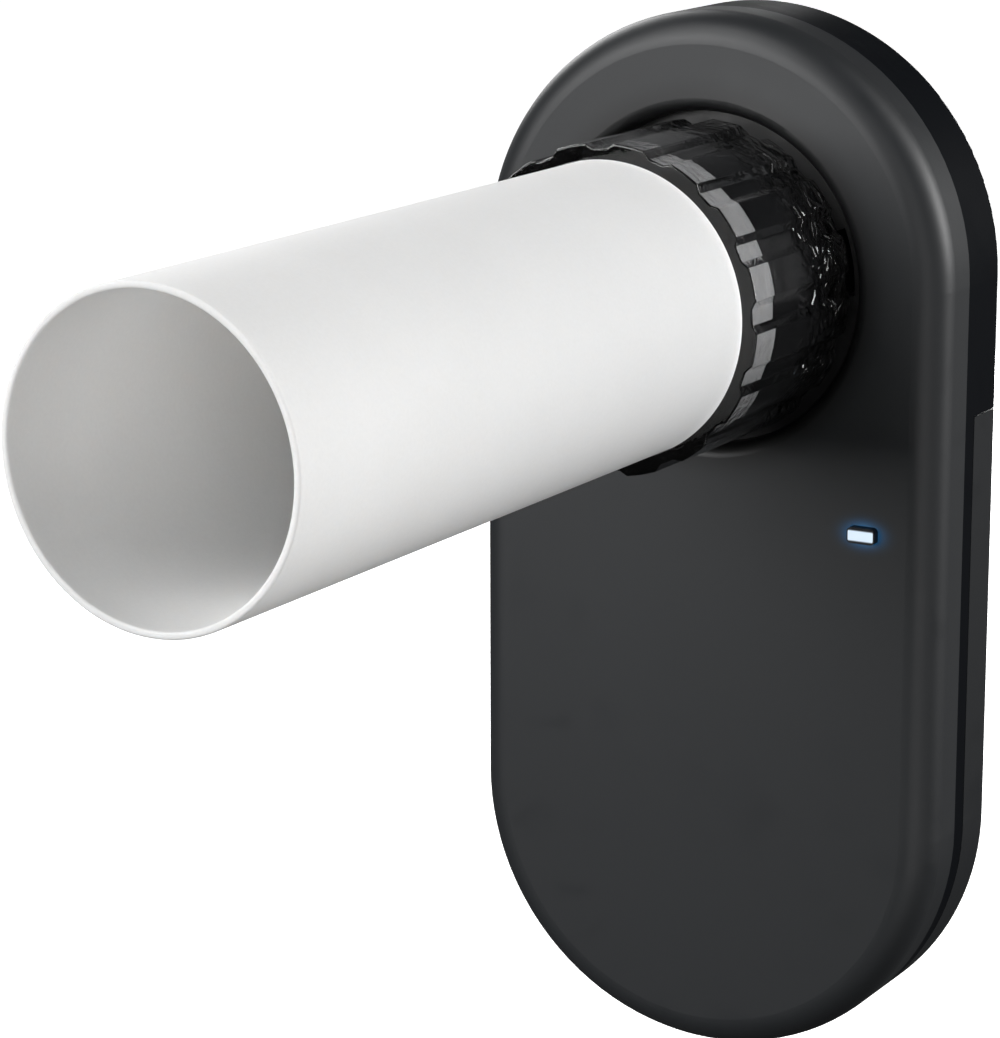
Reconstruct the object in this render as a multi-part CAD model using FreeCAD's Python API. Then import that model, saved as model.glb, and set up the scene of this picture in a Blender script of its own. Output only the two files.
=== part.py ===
import FreeCAD, Part
import os
from math import cos, pi, radians, sin

V = FreeCAD.Vector

# All lengths are in millimetres. X points right, Y from the user through the device, Z up.
# The origin is the middle of the housing, where the hand closes round it.

# Housing
HOUSING_WIDTH = 54.0
STRAIGHT_LENGTH = 58.0
FRONT_SHELL_DEPTH = 6.9
FRONT_EDGE_RADIUS = 3.3
REAR_EDGE_RADIUS = 0.8
SHELL_WALL = 1.5
LIP_DEPTH = 1.6
LIP_WALL = 0.9
LIP_CLEARANCE = 0.1
SNAP_HEIGHT = 0.45
SNAP_CREST = 0.2
SNAP_HALF_LENGTH = 0.48
SNAP_WIDTH = 7.0
SNAP_ANGLES = (50.0, 130.0)
SNAP_POCKET_GAP = 0.2

# Battery cells and the bay round them
CELL_RADIUS = 5.25
CELL_LENGTH = 44.5
CELL_EDGE_RADIUS = 0.5
CELL_NUB_RADIUS = 1.9
CELL_NUB_HEIGHT = 1.0
CELL_SIDE_GAP = 0.6
CELL_GAP = 0.3
CELL_FLOOR_GAP = 0.1
CELL_COVER_GAP = 0.4
BAY_WALL = 1.0
BAY_FLOOR = 0.7
BAY_FRONT_GAP = 0.2
BAY_SEAT_GAP = 1.8
CONTACT_THICKNESS = 0.4
CONTACT_GAP = 0.1
CONTACT_WIDTH = 8.0
SPRING_HEIGHT = 4.7
SPRING_WIRE_RADIUS = 0.3
SPRING_BASE_RADIUS = 3.4
SPRING_TIP_RADIUS = 2.0
SPRING_TURNS = 3
SPRING_SINK = 0.12

# Battery cover and the deck under it
COVER_TOP_DROP = 13.25
COVER_DEPTH = 5.8
COVER_WALL = 1.4
COVER_CLEARANCE = 0.15
DECK_CLEARANCE = 0.25
DECK_WALL = 1.3
COVER_TRAVEL = 10.0
HOOK_LENGTH = 3.0
HOOK_REACH = 0.9
HOOK_THICKNESS = 1.2
HOOK_RISE = 0.7
HOOK_DROPS = (9.15, 29.15)
GRIP_GROOVES = 5
GRIP_GROOVE_LENGTH = 14.0
GRIP_GROOVE_WIDTH = 1.0
GRIP_GROOVE_DEPTH = 0.45
GRIP_GROOVE_END_RADIUS = 0.45
GRIP_PITCH = 2.2
GRIP_DROP = 10.15

# Flow tube and mouthpiece
FLOW_AXIS_DROP = 0.6
MOUTHPIECE_DIAMETER = 30.0
MOUTHPIECE_WALL = 0.7
MOUTHPIECE_RIM_RADIUS = 0.245
MOUTHPIECE_LENGTH = 83.3
MOUTHPIECE_INSERTION = 5.7
MOUTHPIECE_END_GAP = 0.1
SOCKET_CLEARANCE = 0.05

# Fluted collar
COLLAR_WALL = 1.7
COLLAR_PROTRUSION = 20.65
COLLAR_END_GAP = 0.7
COLLAR_LOBES = 16
FLUTE_DEPTH = 0.55
FLUTE_FLOOR_ANGLE = 4.7
FLUTE_WALL_ANGLE = 3.4
FLUTE_PHASE = 2.8
COLLAR_FRONT_CHAMFER = 0.4
COLLAR_REAR_CHAMFER = 0.8

# Recess in the front shell
RECESS_GAP = 0.7
RECESS_DEPTH = 2.9
RECESS_RIM_RADIUS = 1.4
RECESS_FLOOR = 1.2
RECESS_WALL = 1.3

# Turbine body, its seat and the bayonet between them
SPIGOT_STEP = 0.1
SPIGOT_CLEARANCE = 0.1
TURBINE_WALL = 1.6
SWIRLER_STEP = 0.6
TURBINE_END_GAP = 0.15
SEAT_WALL = 1.05
OUTLET_LAND = 0.1
OUTLET_RIM_WALL = 0.9
OUTLET_EDGE_RADIUS = 0.6
TWIST_ANGLE = 40.0
LUG_ANGLES = (90.0, 210.0, 330.0)
LUG_WIDTH_ANGLE = 24.0
LUG_HEIGHT = 1.0
LUG_THICKNESS = 1.8
LUG_LAND = 0.7
LUG_CLEARANCE = 0.15
LUG_CLEARANCE_ANGLE = 0.8

# Swirlers and rotor
VANE_TIP_GAP = 0.8
VANE_HEIGHT = 7.0
VANE_THICKNESS = 0.5
VANE_CORNER_RADIUS = 1.2
VANE_HUB_DIAMETER = 2.2
VANE_HUB_OVERHANG = 0.3
VANE_REST_ANGLE = 62.0
AXLE_DIAMETER = 1.0
AXLE_TIP_CHAMFER = 0.25
AXLE_OVERHANG = 2.3
AXLE_END_GAP = 0.3
BEARING_DIAMETER = 2.6
BEARING_LENGTH = 1.3
BEARING_CLEARANCE = 0.04
SEATING_CLEARANCE = 0.02
SWIRLER_GAP = 1.0
SWIRLER_INSET = 0.15
SWIRLER_HUB_DIAMETER = 6.4
SWIRLER_NOSE_RADIUS = 1.7
SWIRLER_RING_WALL = 0.6
FRONT_SWIRLER_LENGTH = 5.0
REAR_SWIRLER_LENGTH = 3.3
SWIRLER_BLADES = 6
SWIRLER_BLADE_THICKNESS = 0.8
SWIRLER_TURN = 42.0

# Circuit board and its parts
BOARD_THICKNESS = 1.0
BOARD_SEAT_GAP = 0.2
BOARD_EDGE_GAP = 0.5
BOARD_BAY_GAP = 1.5
BOARD_DROP = 48.4
BOARD_POST_RADIUS = 1.5
BOARD_POST_ANGLES = (62.0, 118.0)
BOARD_SCREW_RADIUS = 0.7
BOARD_SCREW_HEAD_RADIUS = 1.4
BOARD_SCREW_HEAD_HEIGHT = 0.8
BOARD_SCREW_LENGTH = 2.8
BEAM_ANGLES = (45.0, 155.0)
BEAM_WINDOW_RADIUS = 0.8
OPTO_SEAT_GAP = 0.8
OPTO_WIDTH = 3.0
OPTO_DEPTH = 1.4
OPTO_HEIGHT = 2.0
OPTO_LENS_RADIUS = 0.7
OPTO_LENS_RISE = 0.21
CHIP_CHAMFER = 0.12
PROCESSOR_SIZE = (6.0, 6.0, 1.0)
PROCESSOR_DROP = 7.5
MEMORY_SIZE = (3.2, 4.4, 0.9)
MEMORY_RISE = 7.0
AMPLIFIER_SIZE = (6.4, 3.2, 1.0)
RADIO_BOARD_SIZE = (8.8, 14.0, 0.6)
RADIO_CAN_SIZE = (7.8, 9.0, 1.4)
RADIO_CAN_DROP = 2.0
RADIO_CAN_RADIUS = 0.3

# Status light
LIGHT_EDGE_DISTANCE = 8.05
LIGHT_DROP = 24.9
LIGHT_WIDTH = 2.8
LIGHT_HEIGHT = 1.35
LIGHT_CORNER_RADIUS = 0.3
LIGHT_PROUD = 0.8
LIGHT_WINDOW_CLEARANCE = 0.08
LIGHT_SLEEVE_WALL = 0.16
LIGHT_SLEEVE_SETBACK = 0.05
LIGHT_FLANGE = 0.7
STATUS_LED_WIDTH = 1.6
STATUS_LED_DEPTH = 0.8
STATUS_LED_HEIGHT = 0.6
CHIP_GAP = 0.1

# Housing screws and their posts
SCREW_RADIUS = 1.0
SCREW_HEAD_RADIUS = 1.8
SCREW_HEAD_HEIGHT = 1.2
HEAD_ROUNDING = 0.35  # share of the head's height
RECESS_SPAN = 1.2  # shares of the head's radius
RECESS_WIDTH = 0.22
SCREW_TIP_GAP = 0.7
SCREW_CLEARANCE = 0.05
SCREW_HOLE_CLEARANCE = 0.15
SCREW_HEAD_CLEARANCE = 0.2
SCREW_HOLE_FLOOR = 0.3
SCREW_SEAT_DEPTH = 2.2
UPPER_POST_RISE = 5.0
LOWER_POST_ANGLE = -30.0
BOSS_RADIUS = 2.2
BOSS_SHOULDER_RADIUS = 3.1
BOSS_HOLE_CLEARANCE = 0.2
POST_WALL = 0.8
POST_EDGE_GAP = 0.6
POST_GAP = 0.1

# Depths of the housing, which is as thin as two cells between its walls allow
HOUSING_DEPTH = (SHELL_WALL + BAY_FRONT_GAP + BAY_FLOOR + CELL_FLOOR_GAP + 2 * CELL_RADIUS
                 + CELL_COVER_GAP + COVER_WALL)
FRONT_Y = -HOUSING_DEPTH / 2
REAR_Y = HOUSING_DEPTH / 2
PARTING_Y = FRONT_Y + FRONT_SHELL_DEPTH
FRONT_INNER_Y = FRONT_Y + SHELL_WALL
REAR_INNER_Y = REAR_Y - SHELL_WALL
LEDGE_Y = REAR_Y - COVER_DEPTH
DECK_Y = REAR_Y - COVER_WALL - DECK_CLEARANCE
DECK_INNER_Y = DECK_Y - DECK_WALL
DECK_INSET = COVER_WALL + COVER_CLEARANCE
BAY_FRONT_Y = FRONT_INNER_Y + BAY_FRONT_GAP
CELL_Y = BAY_FRONT_Y + BAY_FLOOR + CELL_FLOOR_GAP + CELL_RADIUS

# Diameters about the flow axis, all built up from the mouthpiece tube
HALF_WIDTH = HOUSING_WIDTH / 2
ARC_CENTRE_Z = STRAIGHT_LENGTH / 2
FLOW_Z = ARC_CENTRE_Z - FLOW_AXIS_DROP
TUBE_RADIUS = MOUTHPIECE_DIAMETER / 2
COLLAR_RADIUS = TUBE_RADIUS + COLLAR_WALL
RECESS_RADIUS = COLLAR_RADIUS + RECESS_GAP
SPIGOT_RADIUS = TUBE_RADIUS - SPIGOT_STEP
SEAT_BORE_RADIUS = SPIGOT_RADIUS + SPIGOT_CLEARANCE
SHELL_BORE_RADIUS = SEAT_BORE_RADIUS + SPIGOT_CLEARANCE
GROOVE_RADIUS = SPIGOT_RADIUS + LUG_HEIGHT + LUG_CLEARANCE
SEAT_RADIUS = GROOVE_RADIUS + SEAT_WALL
FLOW_BORE_RADIUS = SPIGOT_RADIUS - TURBINE_WALL
SWIRLER_BORE_RADIUS = FLOW_BORE_RADIUS + SWIRLER_STEP
OUTLET_RADIUS = SWIRLER_BORE_RADIUS - OUTLET_LAND
OUTLET_RIM = SHELL_BORE_RADIUS + OUTLET_RIM_WALL
VANE_HALF_WIDTH = FLOW_BORE_RADIUS - VANE_TIP_GAP

# Stations along the flow axis
RECESS_FLOOR_Y = FRONT_Y + RECESS_DEPTH
SEAT_FRONT_Y = RECESS_FLOOR_Y + RECESS_FLOOR
SEAT_REAR_Y = DECK_INNER_Y
LUG_Y = SEAT_REAR_Y - LUG_LAND - LUG_CLEARANCE - LUG_THICKNESS / 2
COLLAR_FRONT_Y = FRONT_Y - COLLAR_PROTRUSION
COLLAR_REAR_Y = RECESS_FLOOR_Y - COLLAR_END_GAP
TURBINE_FRONT_Y = COLLAR_FRONT_Y + MOUTHPIECE_INSERTION
TURBINE_REAR_Y = REAR_INNER_Y - TURBINE_END_GAP
REAR_SWIRLER_REAR_Y = TURBINE_REAR_Y - SWIRLER_INSET
REAR_SWIRLER_FRONT_Y = REAR_SWIRLER_REAR_Y - REAR_SWIRLER_LENGTH
VANE_REAR_Y = REAR_SWIRLER_FRONT_Y - SWIRLER_GAP
VANE_FRONT_Y = VANE_REAR_Y - VANE_HEIGHT
FRONT_SWIRLER_REAR_Y = VANE_FRONT_Y - SWIRLER_GAP
FRONT_SWIRLER_FRONT_Y = FRONT_SWIRLER_REAR_Y - FRONT_SWIRLER_LENGTH
BOARD_FRONT_Y = SEAT_FRONT_Y + BOARD_SEAT_GAP
BOARD_REAR_Y = BOARD_FRONT_Y + BOARD_THICKNESS
BEAM_Y = BOARD_REAR_Y + OPTO_HEIGHT / 2
LIGHT_FRONT_Y = FRONT_Y - LIGHT_PROUD
SCREW_SEAT_Y = POST_GAP + SCREW_SEAT_DEPTH

# Places across the housing and up it
LOWEST_Z = -ARC_CENTRE_Z - HALF_WIDTH
BAY_TOP_Z = FLOW_Z - SEAT_RADIUS - BAY_SEAT_GAP - BAY_WALL
BAY_BOTTOM_Z = BAY_TOP_Z - CELL_LENGTH - SPRING_HEIGHT - 2 * (CONTACT_THICKNESS + CONTACT_GAP)
CELL_X = CELL_RADIUS + CELL_SIDE_GAP / 2
BAY_HALF_WIDTH = CELL_X + CELL_RADIUS + CELL_GAP
BAY_OUTER_X = BAY_HALF_WIDTH + BAY_WALL
TOP_CONTACT_Z = BAY_TOP_Z - CONTACT_THICKNESS - CONTACT_GAP
BOTTOM_CONTACT_Z = BAY_BOTTOM_Z + CONTACT_THICKNESS + CONTACT_GAP
COVER_TOP_Z = FLOW_Z - COVER_TOP_DROP
LIGHT_X = HALF_WIDTH - LIGHT_EDGE_DISTANCE
LIGHT_Z = FLOW_Z - LIGHT_DROP
BOARD_INSET = SHELL_WALL + LIP_CLEARANCE + LIP_WALL + BOARD_EDGE_GAP
BOARD_BOTTOM_Z = FLOW_Z - BOARD_DROP
BOARD_NOTCH_X = BAY_OUTER_X + BOARD_EDGE_GAP
BOARD_RING_RADIUS = (SEAT_RADIUS + BOARD_EDGE_GAP + HALF_WIDTH - BOARD_INSET) / 2
POST_RADIUS = SCREW_HEAD_RADIUS + SCREW_HEAD_CLEARANCE + POST_WALL


def stadium(inset, y_from, y_to):
    """A prism of the housing's capsule outline, drawn in by inset all round."""
    half = HALF_WIDTH - inset
    top = ARC_CENTRE_Z
    right = Part.LineSegment(V(half, y_from, -top), V(half, y_from, top))
    over = Part.Arc(V(half, y_from, top), V(0, y_from, top + half), V(-half, y_from, top))
    left = Part.LineSegment(V(-half, y_from, top), V(-half, y_from, -top))
    under = Part.Arc(V(-half, y_from, -top), V(0, y_from, -top - half), V(half, y_from, -top))
    outline = Part.Wire([side.toShape() for side in (right, over, left, under)])
    return Part.Face(outline).extrude(V(0, y_to - y_from, 0))


def edges_at(solid, y):
    """The edges of a solid that lie wholly in the plane at y."""
    found = []
    for edge in solid.Edges:
        box = edge.BoundBox
        if abs(box.YMin - y) < 1e-4 and abs(box.YMax - y) < 1e-4:
            found.append(edge)
    return found


def circles_at(solid, y, radius):
    """The edges in the plane at y that are arcs of this radius about the flow axis."""
    found = []
    for edge in edges_at(solid, y):
        curve = edge.Curve
        if curve.TypeId == "Part::GeomCircle" and abs(curve.Radius - radius) < 1e-4:
            if abs(curve.Center.z - FLOW_Z) < 1e-4:
                found.append(edge)
    return found


def cylinder(radius, y_from, y_to, x=0.0, z=FLOW_Z):
    """A round bar along Y, on the flow axis unless told otherwise."""
    return Part.makeCylinder(radius, y_to - y_from, V(x, y_from, z), V(0, 1, 0))


def ring(outer, inner, y_from, y_to):
    return cylinder(outer, y_from, y_to).cut(cylinder(inner, y_from, y_to))


def block(x_from, x_to, y_from, y_to, z_from, z_to):
    return Part.makeBox(x_to - x_from, y_to - y_from, z_to - z_from, V(x_from, y_from, z_from))


def revolved(points):
    """A solid of revolution about the flow axis, from (radius, y) corners."""
    corners = [V(radius, y, FLOW_Z) for radius, y in points]
    profile = Part.Face(Part.makePolygon(corners + corners[:1]))
    return profile.revolve(V(0, 0, FLOW_Z), V(0, 1, 0), 360)


def turned(shape, angle):
    """A copy turned about the flow axis, anticlockwise as the user sees it."""
    copy = shape.copy()
    copy.rotate(V(0, 0, FLOW_Z), V(0, -1, 0), angle)
    return copy


def sector(outer, inner, y_from, y_to, centre_angle, width_angle):
    """A piece of a ring, width_angle wide, about centre_angle from +X towards +Z."""
    profile = block(inner, outer, y_from, y_to, FLOW_Z - 1, FLOW_Z + 1)
    face = [f for f in profile.Faces if abs(f.normalAt(0, 0).z - 1) < 1e-6][0]
    face.translate(V(0, 0, -1))
    wedge = face.revolve(V(0, 0, FLOW_Z), V(0, -1, 0), width_angle)
    return turned(wedge, centre_angle - width_angle / 2)


def polar(radius, angle, centre_z=FLOW_Z):
    return radius * cos(radians(angle)), centre_z + radius * sin(radians(angle))


def mirrored_pair(places):
    """Each (x, z) place, with its mirror image across the middle plane."""
    return [(side * x, z) for x, z in places for side in (1, -1)]


def rounded_bar(width, height, radius, y_from, y_to, x, z):
    """A bar along Y whose section is a rectangle with rounded corners."""
    bar = block(x - width / 2, x + width / 2, y_from, y_to, z - height / 2, z + height / 2)
    along = [e for e in bar.Edges if abs(e.BoundBox.YLength - (y_to - y_from)) < 1e-4]
    return bar.makeFillet(radius, along)


def flute_outline(radius, y):
    """The collar's outline: broad lobes on the full radius, with a flat-floored flute between."""
    floor = radius - FLUTE_DEPTH
    step = 360.0 / COLLAR_LOBES
    half_floor = FLUTE_FLOOR_ANGLE / 2
    half_flute = half_floor + FLUTE_WALL_ANGLE
    sides = []
    for number in range(COLLAR_LOBES):
        middle = FLUTE_PHASE + number * step
        places = ((radius, middle - half_flute), (floor, middle - half_floor),
                  (floor, middle + half_floor), (radius, middle + half_flute),
                  (radius, middle + step / 2), (radius, middle + step - half_flute))
        a, b, c, d, e, f = [V(x, y, z) for x, z in [polar(r, angle) for r, angle in places]]
        x, z = polar(floor, middle)
        sides += [Part.LineSegment(a, b), Part.Arc(b, V(x, y, z), c)]
        sides += [Part.LineSegment(c, d), Part.Arc(d, e, f)]
    return Part.Wire([side.toShape() for side in sides])


def bayonet_ways(y_front):
    """The three entry slots and twist grooves that the turbine's lugs run in."""
    low = LUG_Y - LUG_THICKNESS / 2 - LUG_CLEARANCE
    high = LUG_Y + LUG_THICKNESS / 2 + LUG_CLEARANCE
    inner = SPIGOT_RADIUS - 1
    ways = []
    for angle in LUG_ANGLES:
        slot_width = LUG_WIDTH_ANGLE + 2 * LUG_CLEARANCE_ANGLE
        twist_width = slot_width + TWIST_ANGLE
        ways.append(sector(GROOVE_RADIUS, inner, low, high, angle + TWIST_ANGLE / 2, twist_width))
        ways.append(sector(GROOVE_RADIUS, inner, y_front, high, angle + TWIST_ANGLE, slot_width))
    return ways


def screw(radius, head_radius, head_height, length, x, z, seat_y):
    """A pan-head screw driven towards the front, with a cross recess."""
    shank = cylinder(radius, seat_y - length, seat_y, x, z)
    head = cylinder(head_radius, seat_y, seat_y + head_height, x, z)
    head = head.makeFillet(head_height * HEAD_ROUNDING, edges_at(head, seat_y + head_height))
    arm = head_radius * RECESS_SPAN
    slot = head_radius * RECESS_WIDTH
    top = seat_y + head_height
    cross = block(x - arm / 2, x + arm / 2, top - head_height / 2, top, z - slot / 2, z + slot / 2)
    cross = cross.fuse(block(x - slot / 2, x + slot / 2, top - head_height / 2, top, z - arm / 2, z + arm / 2))
    return shank.fuse(head).cut(cross).removeSplitter()


def make_front_shell():
    shell = stadium(0, FRONT_Y, PARTING_Y)
    shell = shell.makeFillet(FRONT_EDGE_RADIUS, edges_at(shell, FRONT_Y))
    hollow = stadium(SHELL_WALL, FRONT_INNER_Y, PARTING_Y)
    hollow = hollow.makeFillet(FRONT_EDGE_RADIUS - SHELL_WALL, edges_at(hollow, FRONT_INNER_Y))
    shell = shell.cut(hollow)
    cup = cylinder(RECESS_RADIUS + RECESS_WALL, FRONT_INNER_Y - SHELL_WALL / 2, SEAT_FRONT_Y)
    shell = shell.fuse(cup)
    shell = shell.cut(cylinder(RECESS_RADIUS, FRONT_Y, RECESS_FLOOR_Y))
    shell = shell.cut(cylinder(SHELL_BORE_RADIUS, RECESS_FLOOR_Y, SEAT_FRONT_Y))
    shell = shell.makeFillet(RECESS_RIM_RADIUS, circles_at(shell, FRONT_Y, RECESS_RADIUS))
    for way in bayonet_ways(RECESS_FLOOR_Y):
        shell = shell.cut(way)
    for x, z in mirrored_pair(screw_posts()):
        boss = cylinder(BOSS_RADIUS, FRONT_INNER_Y, 0, x, z)
        boss = boss.fuse(cylinder(BOSS_SHOULDER_RADIUS, FRONT_INNER_Y, BOARD_FRONT_Y, x, z))
        hole = cylinder(SCREW_RADIUS + SCREW_CLEARANCE, FRONT_INNER_Y + SCREW_HOLE_FLOOR, 0, x, z)
        shell = shell.fuse(boss).cut(hole)
    for x, z in board_posts():
        post = cylinder(BOARD_POST_RADIUS, FRONT_INNER_Y - SHELL_WALL / 2, BOARD_FRONT_Y, x, z)
        hole = cylinder(BOARD_SCREW_RADIUS + SCREW_CLEARANCE, FRONT_INNER_Y, BOARD_FRONT_Y, x, z)
        shell = shell.fuse(post).cut(hole)
    grow = 2 * (LIGHT_SLEEVE_WALL + LIGHT_WINDOW_CLEARANCE)
    window = rounded_bar(LIGHT_WIDTH + grow, LIGHT_HEIGHT + grow, LIGHT_CORNER_RADIUS + grow / 2,
                         FRONT_Y, FRONT_INNER_Y, LIGHT_X, LIGHT_Z)
    shell = shell.cut(window)
    for pocket in snap_wedges(LIP_CLEARANCE, SNAP_POCKET_GAP):
        shell = shell.cut(pocket)
    return shell.removeSplitter()


def board_posts():
    """The (x, z) places of the two posts that carry the top of the board."""
    return [polar(BOARD_RING_RADIUS, angle, ARC_CENTRE_Z) for angle in BOARD_POST_ANGLES]


def screw_posts():
    """The (x, z) places of the right-hand screw posts: through the board's arm, and in the lower bend."""
    upper_x = (BOARD_NOTCH_X + HALF_WIDTH - BOARD_INSET) / 2
    reach = HALF_WIDTH - DECK_INSET - SHELL_WALL - POST_EDGE_GAP - POST_RADIUS
    return [(upper_x, BOARD_BOTTOM_Z + UPPER_POST_RISE), polar(reach, LOWER_POST_ANGLE, -ARC_CENTRE_Z)]


def snap_wedges(deeper, longer):
    """Snap beads on the rear shell's lip, or, made deeper and longer, their pockets in the front shell."""
    lip_outer = HALF_WIDTH - SHELL_WALL - LIP_CLEARANCE
    wedges = []
    for angle in SNAP_ANGLES:
        middle = PARTING_Y - LIP_DEPTH / 2
        half = SNAP_HALF_LENGTH + longer
        reach = lip_outer + SNAP_HEIGHT + deeper
        root = lip_outer - LIP_WALL / 2
        corners = [V(root, middle - half, 0), V(reach - SNAP_CREST, middle - half, 0),
                   V(reach, middle, 0), V(root, middle + half, 0)]
        width = SNAP_WIDTH + 2 * longer
        wedge = Part.Face(Part.makePolygon(corners + corners[:1])).extrude(V(0, 0, width))
        wedge.translate(V(0, 0, -width / 2))
        wedge.rotate(V(0, 0, 0), V(0, -1, 0), angle)
        wedge.translate(V(0, 0, ARC_CENTRE_Z))
        wedges.append(wedge)
    return wedges


def cover_zone(grow):
    """The space behind the deck that the battery cover fills, grown by a gap on its free edges."""
    top = COVER_TOP_Z + grow
    zone = block(-HALF_WIDTH, HALF_WIDTH, LEDGE_Y - grow, REAR_Y, LOWEST_Z, top)
    return zone.cut(cylinder(OUTLET_RIM - grow, LEDGE_Y - grow, REAR_Y))


def hook_heights():
    return [COVER_TOP_Z - drop for drop in HOOK_DROPS]


def hook_tracks():
    """Slots in the deck's sides: the hooks slide down them, then lift out of the wider entry."""
    hook_y = LEDGE_Y + HOOK_RISE
    tracks = []
    gap = COVER_CLEARANCE
    for height in hook_heights():
        for side in (1, -1):
            outer = side * HALF_WIDTH
            inner = side * (HALF_WIDTH - DECK_INSET - HOOK_REACH - gap)
            x_from, x_to = min(outer, inner), max(outer, inner)
            top = height + HOOK_LENGTH / 2 + gap
            bottom = height - HOOK_LENGTH / 2 - COVER_TRAVEL - gap
            tracks.append(block(x_from, x_to, hook_y - gap, hook_y + HOOK_THICKNESS + gap, bottom, top))
            tracks.append(block(x_from, x_to, hook_y - gap, DECK_Y, bottom, bottom + HOOK_LENGTH + 2 * gap))
    return tracks


def make_rear_shell():
    shell = stadium(0, PARTING_Y, REAR_Y)
    shell = shell.makeFillet(REAR_EDGE_RADIUS, edges_at(shell, REAR_Y))
    shell = shell.cut(stadium(SHELL_WALL, PARTING_Y, LEDGE_Y - SHELL_WALL))
    upper = stadium(SHELL_WALL, LEDGE_Y - SHELL_WALL, REAR_INNER_Y)
    upper = upper.cut(block(-HALF_WIDTH, HALF_WIDTH, FRONT_Y, REAR_Y, LOWEST_Z, COVER_TOP_Z + SHELL_WALL))
    lower = stadium(DECK_INSET + SHELL_WALL, LEDGE_Y - SHELL_WALL, DECK_INNER_Y)
    shell = shell.cut(upper).cut(lower)
    deck_block = stadium(DECK_INSET, PARTING_Y, DECK_Y)
    shell = shell.cut(cover_zone(0).cut(deck_block))
    rib = ring(SEAT_RADIUS, SHELL_BORE_RADIUS, SEAT_REAR_Y, REAR_INNER_Y)
    shell = shell.fuse(rib.cut(cover_zone(0).cut(deck_block)))
    shell = shell.cut(cylinder(SHELL_BORE_RADIUS, SEAT_REAR_Y, REAR_INNER_Y))
    shell = shell.cut(cylinder(OUTLET_RADIUS, REAR_INNER_Y, REAR_Y))
    shell = shell.makeFillet(OUTLET_EDGE_RADIUS, circles_at(shell, REAR_Y, OUTLET_RADIUS))
    lip_from = PARTING_Y - LIP_DEPTH
    lip_outer = SHELL_WALL + LIP_CLEARANCE
    lip = stadium(lip_outer, lip_from, PARTING_Y + SHELL_WALL / 2)
    lip = lip.cut(stadium(lip_outer + LIP_WALL, lip_from, PARTING_Y + SHELL_WALL / 2))
    shell = shell.fuse(lip)
    for wedge in snap_wedges(0, 0):
        shell = shell.fuse(wedge)
    bay_low, bay_high = BAY_BOTTOM_Z - BAY_WALL, BAY_TOP_Z + BAY_WALL
    bay = block(-BAY_OUTER_X, BAY_OUTER_X, BAY_FRONT_Y, DECK_Y, bay_low, bay_high)
    shell = shell.fuse(bay)
    room = block(-BAY_HALF_WIDTH, BAY_HALF_WIDTH, BAY_FRONT_Y + BAY_FLOOR, DECK_Y, BAY_BOTTOM_Z, BAY_TOP_Z)
    shell = shell.cut(room)
    for x, z in mirrored_pair(screw_posts()):
        shell = shell.fuse(cylinder(POST_RADIUS, POST_GAP, DECK_Y, x, z))
        shell = shell.cut(cylinder(SCREW_RADIUS + SCREW_HOLE_CLEARANCE, POST_GAP, DECK_Y, x, z))
        shell = shell.cut(cylinder(SCREW_HEAD_RADIUS + SCREW_HEAD_CLEARANCE, SCREW_SEAT_Y, DECK_Y, x, z))
    for track in hook_tracks():
        shell = shell.cut(track)
    return shell.removeSplitter()


def make_battery_cover():
    cover = stadium(0, LEDGE_Y + COVER_CLEARANCE, REAR_Y)
    cover = cover.makeFillet(REAR_EDGE_RADIUS, edges_at(cover, REAR_Y))
    cover = cover.cut(stadium(COVER_WALL, LEDGE_Y, REAR_Y - COVER_WALL))
    cover = cover.common(cover_zone(-COVER_CLEARANCE))
    hook_y = LEDGE_Y + HOOK_RISE
    for height in hook_heights():
        for side in (1, -1):
            outer = side * (HALF_WIDTH - COVER_WALL / 2)
            inner = side * (HALF_WIDTH - DECK_INSET - HOOK_REACH)
            hook = block(min(outer, inner), max(outer, inner), hook_y, hook_y + HOOK_THICKNESS,
                         height - HOOK_LENGTH / 2, height + HOOK_LENGTH / 2)
            cover = cover.fuse(hook)
    for number in range(GRIP_GROOVES):
        z = COVER_TOP_Z - GRIP_DROP - number * GRIP_PITCH
        groove = rounded_bar(GRIP_GROOVE_LENGTH, GRIP_GROOVE_WIDTH, GRIP_GROOVE_END_RADIUS,
                             REAR_Y - GRIP_GROOVE_DEPTH, REAR_Y, 0, z)
        cover = cover.cut(groove)
    return cover.removeSplitter()


def make_turbine_seat():
    seat = ring(SEAT_RADIUS, SEAT_BORE_RADIUS, SEAT_FRONT_Y, SEAT_REAR_Y)
    for way in bayonet_ways(SEAT_FRONT_Y):
        seat = seat.cut(way)
    for angle in BEAM_ANGLES:
        start = V(-SEAT_RADIUS, BEAM_Y, FLOW_Z)
        beam = Part.makeCylinder(BEAM_WINDOW_RADIUS, 2 * SEAT_RADIUS, start, V(1, 0, 0))
        seat = seat.cut(turned(beam, angle))
    return seat.removeSplitter()


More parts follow.
